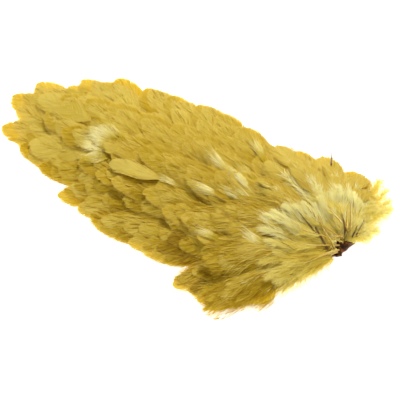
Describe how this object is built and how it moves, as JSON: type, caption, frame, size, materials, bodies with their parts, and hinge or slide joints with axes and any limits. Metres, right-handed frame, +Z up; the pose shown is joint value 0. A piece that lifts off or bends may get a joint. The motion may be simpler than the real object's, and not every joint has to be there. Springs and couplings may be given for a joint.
{
  "type": "hen saddle hackle patch",
  "caption": "Flat patch of dried skin carrying overlapping soft rounded feathers, laid like shingles, with downy bases and bare quills fanning from its narrow head end; rests flat.",
  "frame": {"origin": "middle of the patch's footprint on the surface it rests on", "axes": "+X from the tail feathers to the narrow head end of the skin, +Y across the patch towards the feathers that are farther away in the picture, +Z up from the skin to the feathers"},
  "size_m": [0.2124, 0.1184, 0.0172],
  "materials": {
    "skin": "dried, thin and crinkled, matte",
    "vane": "soft satin sheen of combed barbs",
    "front_vane": "soft satin sheen, paler towards the downy base",
    "down": "fluffy and matte"
  },
  "bodies": {
    "root": {"skin": "skin", "tail_feather_1": "vane", "tail_feather_2": "vane", "tail_feather_3": "vane", "row_9_feather_1": "vane", "row_9_feather_2": "vane", "row_9_feather_3": "vane", "row_9_feather_4": "vane", "row_8_feather_1": "vane", "row_8_feather_2": "vane", "row_8_feather_3": "vane", "row_8_feather_4": "vane", "row_7_feather_1": "vane", "row_7_feather_2": "vane", "row_7_feather_3": "vane", "row_7_feather_4": "vane", "row_7_feather_5": "vane", "row_6_feather_1": "vane", "row_6_feather_2": "vane", "row_6_feather_3": "vane", "row_6_feather_4": "vane", "row_6_feather_5": "vane", "loose_feather": "vane", "row_5_feather_1": "vane", "row_5_feather_2": "vane", "row_5_feather_3": "vane", "row_5_feather_4": "vane", "row_5_feather_5": "vane", "row_4_feather_1": "vane", "row_4_feather_2": "vane", "row_4_feather_3": "vane", "row_4_feather_4": "vane", "row_4_feather_5": "vane", "row_3_feather_1": "vane", "row_3_feather_2": "vane", "row_3_feather_3": "vane", "row_3_feather_4": "vane", "row_3_feather_5": "vane", "row_2_feather_1": "vane", "row_2_feather_2": "vane", "row_2_feather_3": "vane", "row_2_feather_4": "vane", "row_2_feather_5": "vane", "row_1_feather_1": "vane", "row_1_feather_2": "vane", "row_1_feather_3": "vane", "row_1_feather_4": "vane", "row_1_feather_5": "vane", "row_1_feather_6": "vane", "front_down_1": "down", "front_down_2": "down", "front_down_3": "down", "front_down_4": "down", "front_feather_1": "front_vane", "front_feather_2": "front_vane", "front_feather_3": "front_vane", "front_feather_4": "front_vane", "front_feather_5": "front_vane", "front_feather_6": "front_vane", "front_feather_7": "front_vane"}
  },
  "joints": []
}
